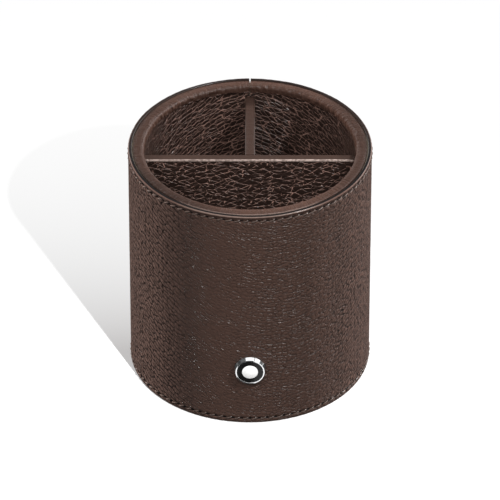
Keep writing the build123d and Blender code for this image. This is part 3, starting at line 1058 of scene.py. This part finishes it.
cross = cover(
    "cross_cover_leather",
    190,
    lambda share, across: (2.0 * share - 1.0) * wall_reach(across),
    41,
    lambda u, across, level: np.stack([-u, across, level], axis=-1),
    lambda u: 1.2 * eased((-u - 38.0) / 4.0) ** 2,
)
centre = cover(
    "centre_cover_leather",
    96,
    lambda share, across: COVER_HALF + share * (wall_reach(across) - COVER_HALF),
    51,
    lambda u, across, level: np.stack([across, u, level], axis=-1),
    lambda u: 0.4 * eased((u - 39.0) / 3.0),
)
dressed(cross, cover_leather, "cross_cover")
dressed(centre, cover_leather, "centre_cover")

# %% [markdown]
# ## Suede
#
# The three floors and the underside are suede: a flat leather with its nap up. Each is a set of rings that
# run from the middle of its upper face, round the soft edge, to the middle of its lower face. Real hairs
# would be far too many for so small a nap, so noise in the colour and a little sheen stand for them.

# %% Suede
SUEDE_BROWN = (0.05, 0.031, 0.025)
PAD_PLAY = 0.25
PAD_BEND, BASE_BEND = 0.35, 0.4
OUTLINE_POINTS = 220


def suede_piece(name, outline, low, high, bend):
    """A soft flat piece inside that outline, an anticlockwise (n, 2) array, with its edge rounded.

    Each ring is the outline, drawn in towards its middle: by a growing share on both faces, and by the
    radius bend times 1 less a sine or a cosine round the edge."""
    middle = outline.mean(axis=0)
    rays = outline - middle
    length = np.linalg.norm(rays, axis=1)
    quarter = np.linspace(0.0, math.pi / 2, 6)
    spread = np.linspace(0.03, 1.0, 26)[:-1]
    insets = [(1.0 - s) * length for s in spread]
    insets += [np.full(len(length), bend * (1.0 - math.sin(a))) for a in quarter]
    insets += [np.full(len(length), bend * (1.0 - math.cos(a))) for a in quarter]
    insets += [(1.0 - s) * length for s in spread[::-1]]
    levels = [high] * len(spread) + [high - bend * (1.0 - math.cos(a)) for a in quarter]
    levels += [low + bend * (1.0 - math.sin(a)) for a in quarter] + [low] * len(spread)
    inset = np.array(insets)
    level = np.broadcast_to(np.array(levels)[:, None], inset.shape)
    flat = outline - rays * (inset / length)[..., None]
    level = level + 0.06 * swell(flat[..., 0] / 5.0, flat[..., 1] / 5.0, 61) * (level > high - 0.01)
    points = np.concatenate([flat, level[..., None]], axis=-1)
    points = np.concatenate([points, points[:, :1]], axis=1)
    return skin(name, points, points[..., :2])


def slice_outline(start, finish, radius, inset):
    """The outline of a slice of the floor between two directions, kept clear of the dividers."""
    lean = math.asin(inset / radius)
    around = np.linspace(start + lean, finish - lean, 120)
    arc_points = radius * np.stack([np.cos(around), np.sin(around)], axis=1)
    middle = (start + finish) / 2
    corner = inset / math.sin((finish - start) / 2) * np.array([[math.cos(middle), math.sin(middle)]])
    loop = np.concatenate([corner, arc_points, corner])
    run = np.concatenate([[0.0], np.cumsum(np.linalg.norm(np.diff(loop, axis=0), axis=1))])
    stops = np.linspace(0.0, run[-1], OUTLINE_POINTS, endpoint=False)
    return np.stack([np.interp(stops, run, loop[:, 0]), np.interp(stops, run, loop[:, 1])], axis=1)


def napped(name, colour):
    """Suede: matte, with a fine nap that mottles it."""
    recipe = recipe_for(name)
    nap = recipe.noise(recipe.hide(), 0.35, 3.0, 0.7)
    strokes = recipe.noise(recipe.hide(), 7.0)
    shade = recipe.mottled(0.6 * nap + 0.4 * strokes, colour, 0.6, 1.4)
    return recipe.shader(Base_Color=shade, Roughness=0.9, Normal=recipe.bump(nap, 0.15), Sheen_Weight=0.15)


suede = napped("brown_suede", SUEDE_BROWN)
floor_slices = {
    "front_floor_pad": (math.pi, 2 * math.pi),
    "rear_left_floor_pad": (math.pi / 2, math.pi),
    "rear_right_floor_pad": (0.0, math.pi / 2),
}
for node, (start, finish) in floor_slices.items():
    outline = slice_outline(start, finish, CAVITY - PAD_PLAY, COVER_HALF + PAD_PLAY)
    dressed(suede_piece(f"{node}_suede", outline, foot(node), top(node), PAD_BEND), suede, node)
around = np.linspace(0.0, 2 * math.pi, 240, endpoint=False)
base_outline = reach("base_pad") * np.stack([np.cos(around), np.sin(around)], axis=1)
base = suede_piece("base_pad_suede", base_outline, foot("base_pad"), top("base_pad"), BASE_BEND)
dressed(base, suede, "base_pad")

# %% [markdown]
# ## Stitches
#
# Each stitch is a short length of two-ply thread that comes up out of one hole and goes down the next, so
# its ends dive and its middle stands proud. A bevelled curve for each would make an object of every
# stitch. Here all the stitches of a row are one mesh of separate sausages, worked out together: a first
# axis for the stitch, a second along it and a third round it.

# %% The stitches
RINGS, SIDES = 11, 8
THREAD_RADIUS = 0.29
STITCH_HALF = 1.42
SLANT = math.radians(20.0)
THREAD_BROWN = (0.090, 0.063, 0.053)


def stitch_row(name, level):
    """One row of slanted stitches round the cup, at that level.

    Along a stitch, share runs from -1 to 1. The thread's radius closes at both ends and swells twice a
    turn, for its two plies, and its middle line falls away with a power of the share."""
    wobble = np.random.default_rng(71).uniform(-1.0, 1.0, (3, STITCH_COUNT, 1, 1))
    number = np.arange(STITCH_COUNT)[:, None, None]
    share = np.linspace(-1.0, 1.0, RINGS)[None, :, None]
    turn = np.linspace(0.0, 2 * math.pi, SIDES, endpoint=False)[None, None, :]
    slant = SLANT + 0.06 * wobble[0]
    plies = 1.0 + 0.12 * np.cos(2.0 * (turn - 2.6 * share))
    thick = THREAD_RADIUS * (1.0 - 0.96 * np.abs(share) ** 6) ** 0.5 * plies
    along = STITCH_HALF * share * (1.0 + 0.03 * wobble[1])
    rise = 0.16 - 0.55 * np.abs(share) ** 3.5 + 0.04 * wobble[2]
    radius = WRAP_OUTSIDE - 0.10 + rise + thick * np.cos(turn)
    sideways = thick * np.sin(turn)
    tangential = along * np.cos(slant) - sideways * np.sin(slant)
    height = level + along * np.sin(slant) + sideways * np.cos(slant)
    angle = SEAM + (number + 0.5) * 2 * math.pi / STITCH_COUNT + tangential / WRAP_OUTSIDE
    k, i, j = np.meshgrid(np.arange(STITCH_COUNT), np.arange(RINGS - 1), np.arange(SIDES), indexing="ij")
    start = (k * RINGS + i) * SIDES
    after = (j + 1) % SIDES
    quads = np.stack([start + j, start + SIDES + j, start + SIDES + after, start + after], axis=-1)
    first = np.arange(STITCH_COUNT)[:, None] * RINGS * SIDES + np.arange(SIDES)
    ends = first[:, ::-1].tolist() + (first + (RINGS - 1) * SIDES).tolist()
    row = solid(name, turned(angle, radius, height).reshape(-1, 3), quads.reshape(-1, 4).tolist() + ends)
    row.data.shade_smooth()
    row.data.update()
    print(f"{name}: {STITCH_COUNT} stitches, {2 * len(row.data.polygons)} triangles")
    return row


def waxed_thread(name, colour):
    """Waxed thread: glossy, with the fibres just showing."""
    recipe = recipe_for(name)
    fibres = recipe.noise(recipe.place(), 0.12 * MM)
    shade = recipe.mottled(fibres, colour, 0.6, 1.4)
    bump = recipe.bump(fibres, 0.05)
    return recipe.shader(Base_Color=shade, Roughness=0.25, Normal=bump, Specular_IOR_Level=1.0)


thread = waxed_thread("brown_thread", THREAD_BROWN)
for row, level in STITCH_LEVELS.items():
    dressed(stitch_row(f"{row}_thread", level), thread, row)

# %% [markdown]
# ## The rigid pieces
#
# The boards, the badge and its washer have no fold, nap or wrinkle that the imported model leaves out, so
# they could gain nothing from new meshes. They stay as they are and only get finishes: pressed board that
# never shows once the cup is glued up, polished plate and enamel for the badge, and dull zinc inside.


# %% The rigid pieces
def polished_plate(name, colour, roughness):
    """Polished plated metal, with the faintest uneven polish."""
    recipe = recipe_for(name)
    haze = recipe.noise(recipe.place(), 2.0 * MM, 3.0)
    shade = recipe.mottled(haze, colour, 0.94, 1.0)
    return recipe.shader(Base_Color=shade, Metallic=1.0, Roughness=roughness + 0.04 * (haze - 0.5))


def enamel(name, colour, specular):
    """Glossy enamel."""
    recipe = recipe_for(name)
    haze = recipe.noise(recipe.place(), 1.2 * MM)
    shade = recipe.mottled(haze, colour, 0.9, 1.0)
    return recipe.shader(Base_Color=shade, Roughness=0.10 + 0.06 * haze, Specular_IOR_Level=specular)


def pressed_board(name, colour):
    """Dense grey-brown board, with fibres."""
    recipe = recipe_for(name)
    fibres = recipe.noise(recipe.place(), 0.6 * MM, 4.0, 0.7)
    shade = recipe.mottled(fibres, colour, 0.75, 1.2)
    return recipe.shader(Base_Color=shade, Roughness=0.85, Normal=recipe.bump(fibres, 0.1))


board = pressed_board("pressed_board", (0.36, 0.30, 0.23))
finishes = {
    board: ("core_tube", "base_board", "cross_board", "centre_board"),
    polished_plate("polished_plate", (0.86, 0.87, 0.88), 0.06): ("badge_bezel",),
    polished_plate("zinc_plate", (0.5, 0.5, 0.5), 0.35): ("badge_washer",),
    enamel("black_enamel", (0.005, 0.005, 0.005), 0.25): ("badge_inlay",),
    enamel("white_enamel", (0.86, 0.86, 0.85), 0.5): ("badge_dome",),
}
for finish, nodes in finishes.items():
    for node in nodes:
        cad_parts[node].data.materials.clear()
        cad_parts[node].data.materials.append(finish)

# %% [markdown]
# ## Stage and light
#
# The cup stands on a white floor that has no end. Its shadow is long and fades with distance, as it does
# under one low lamp in a white room. So the floor has a lamp of its own, and the further back it lies, the
# more of its white is a glow that no shadow darkens. It lies a hair below the underside, so that the two
# never share a plane.
#
# The cup's key lamp stands high on the right, where its light reaches down inside and glints on the
# creases. Six more add no shine: a small one high in front, a broad one at the front left, two that graze
# the wrap from low at the left and right, and two behind. The sky adds a dim even light. To glossy
# surfaces alone it shows a bright patch low behind each side, a fainter one high on the right and a dark
# one high on the left, and these draw the shine on the leather.

# %% The floor
FLOOR_LEVEL = -0.05
FLOOR_HALF = 3000.0
FLOOR_GREY, FLOOR_SEEN, GLOSSY_GLOW = (0.4, 0.4, 0.4), (1.1, 1.1, 1.1), (0.06, 0.06, 0.06)
WHITE = (1.0, 1.0, 1.0)
SHADOW_SHARE = 0.60
SHADOW_FADE = -0.058

floor_recipe = recipe_for("floor")
back = floor_recipe.part(floor_recipe.place(), 1).math("MAXIMUM", 0.0)
seen, glossy = floor_recipe.ray("Camera"), floor_recipe.ray("Glossy")
fade = SHADOW_SHARE * (back / SHADOW_FADE).math("EXPONENT")
white = (seen * (1.0 - fade)).math("MAXIMUM", glossy)
grey = floor_recipe.mix(seen, FLOOR_GREY, FLOOR_SEEN)
glow_colour = floor_recipe.mix(glossy, WHITE, GLOSSY_GLOW)
diffuse = floor_recipe.node("ShaderNodeBsdfDiffuse", None, {"Color": grey})
glow = floor_recipe.node("ShaderNodeEmission", None, {"Color": glow_colour})
floor_recipe.output(floor_recipe.node("ShaderNodeMixShader", None, [white, diffuse, glow]))
corners = [(x * FLOOR_HALF, y * FLOOR_HALF, FLOOR_LEVEL) for x, y in ((-1, -1), (1, -1), (1, 1), (-1, 1))]
floor = solid("floor", corners, [(0, 1, 2, 3)])
floor.data.materials.append(floor_recipe.holder)
floor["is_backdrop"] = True

# %% The world
WORLD_LOW, WORLD_HIGH = 0.2, 0.3
DIM, FLAG_GLOW = 0.10, 0.04
SIDE_GLARE, SCREEN_GLARE = 3.0, 1.4

sky = Recipe(bpy.data.worlds.new("studio"))
bpy.context.scene.world = sky.holder
direction = sky.place("Generated")
seen, glossy = sky.ray("Camera"), sky.ray("Glossy")


def patch(azimuth, elevation, low, high):
    """1 on a round patch of sky in that direction, 0 around it. low and high are cosines at its edge."""
    towards = looking_from(azimuth, elevation)
    return sky.vector("DOT_PRODUCT", direction, towards, output="Value").step(low, high)


flag = patch(153.0, 24.0, 0.90, 0.94)
screen = patch(-20.0, 40.0, 0.90, 0.95)
left = patch(140.0, 8.0, 0.86, 0.92)
right = patch(38.0, 8.0, 0.86, 0.92)
glare = (DIM + SIDE_GLARE * left) * (1.0 - flag) + FLAG_GLOW + SCREEN_GLARE * screen + SIDE_GLARE * right
soft = between(WORLD_LOW, WORLD_HIGH, sky.part(direction, 2).step(0.0, 1.0))
strength = seen + (1.0 - seen) * (glossy * glare + (1.0 - glossy) * soft)
shine = sky.node("ShaderNodeBackground", None, {"Color": (*WHITE, 1.0), "Strength": strength})
sky.output(shine, "ShaderNodeOutputWorld")


# %% The lamps
def light(name, kind, energy, pieces, link_state, settings):
    """A lamp that lights only those pieces, or all but them, as the link state says."""
    made = linked(name, bpy.data.lights.new(name, kind))
    made.data.energy = energy
    for key, value in settings.items():
        setattr(made.data, key, value)
    lit = bpy.data.collections.new(f"{name}_lights")
    for number, piece in enumerate(pieces):
        lit.objects.link(piece)
        lit.collection_objects[number].light_linking.link_state = link_state
    made.light_linking.receiver_collection = lit
    return made


def lamp(name, kind, azimuth, elevation, energy, distance=1.0, glossy=False, link="EXCLUDE", **settings):
    """A lamp seen from the cup in that direction, which lights all but the floor, or only the floor."""
    made = light(name, kind, energy, (floor,), link, settings)
    made.location = [distance * c for c in looking_from(azimuth, elevation)]
    made.location.z += HEIGHT / 2 * MM
    made.rotation_euler = (0.0, math.radians(90.0 - elevation), math.radians(azimuth))
    made.visible_glossy = glossy


def sun(name, azimuth, elevation, energy, width, **settings):
    """A lamp so far away that only its direction and its apparent width count, all in degrees."""
    lamp(name, "SUN", azimuth, elevation, energy, angle=math.radians(width), **settings)


sun("floor_lamp", -64.5, 38.7, 5.0, 0.8, glossy=True, link="INCLUDE")
sun("key_lamp", -33.0, 55.0, 2.3, 3.0, glossy=True)
lamp("front_lamp", "AREA", -90.0, 55.0, 0.85, distance=0.5, size=0.04)
sun("front_left_lamp", -138.0, 45.0, 1.2, 10.0)
sun("left_lamp", 150.0, 4.0, 8.0, 4.0)
sun("right_lamp", 28.0, 4.0, 8.6, 4.0)
sun("back_left_lamp", 140.0, 30.0, 2.4, 8.0)
sun("back_right_lamp", 40.0, 30.0, 2.4, 8.0)

# %% [markdown]
# The badge is polished, so it shows its surroundings. Four white cards that light the badge alone give it
# the look that it has in the photograph: a large one above for its bright top, one on the right, and two
# small ones that lie low in front of it, face up, and light parts of the ring from below.


# %% The badge's cards
def card(name, place, towards, width, brightness):
    """A white card for the badge, at that place in millimetres, facing along a direction."""
    badge = [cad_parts[node] for node in ("badge_bezel", "badge_inlay", "badge_dome")]
    size = width * MM
    made = light(name, "AREA", brightness * math.pi * size**2, badge, "INCLUDE", {"size": size})
    made.location = [c * MM for c in place]
    made.rotation_euler = Vector(towards).to_track_quat("-Z", "Y").to_euler()
    made.visible_camera = False


card("top_card", (0.0, -170.0, 240.0), (0.0, 120.0, -210.0), 260.0, 1.3)
card("ring_card", (12.5, -81.0, 3.0), (0.0, 0.0, 1.0), 22.0, 1.3)
card("strip_card", (-8.9, -80.0, 3.0), (0.0, 0.0, 1.0), 8.0, 1.3)
card("right_card", (48.0, -82.0, 8.0), (-48.0, 34.0, 18.0), 46.0, 1.3)
print(len(bpy.data.lights), "lamps and cards")

# %% [markdown]
# ## The last check
#
# The skins are meant to keep the cup's size, so the largest gap between the two boxes is printed.

# %% The two boxes, and the end
visual_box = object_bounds()
gap = max(abs(new - old) for pair in zip(visual_box, cad_box) for new, old in zip(*pair))
print(f"the two boxes differ by {gap / MM:.2f} mm at most")
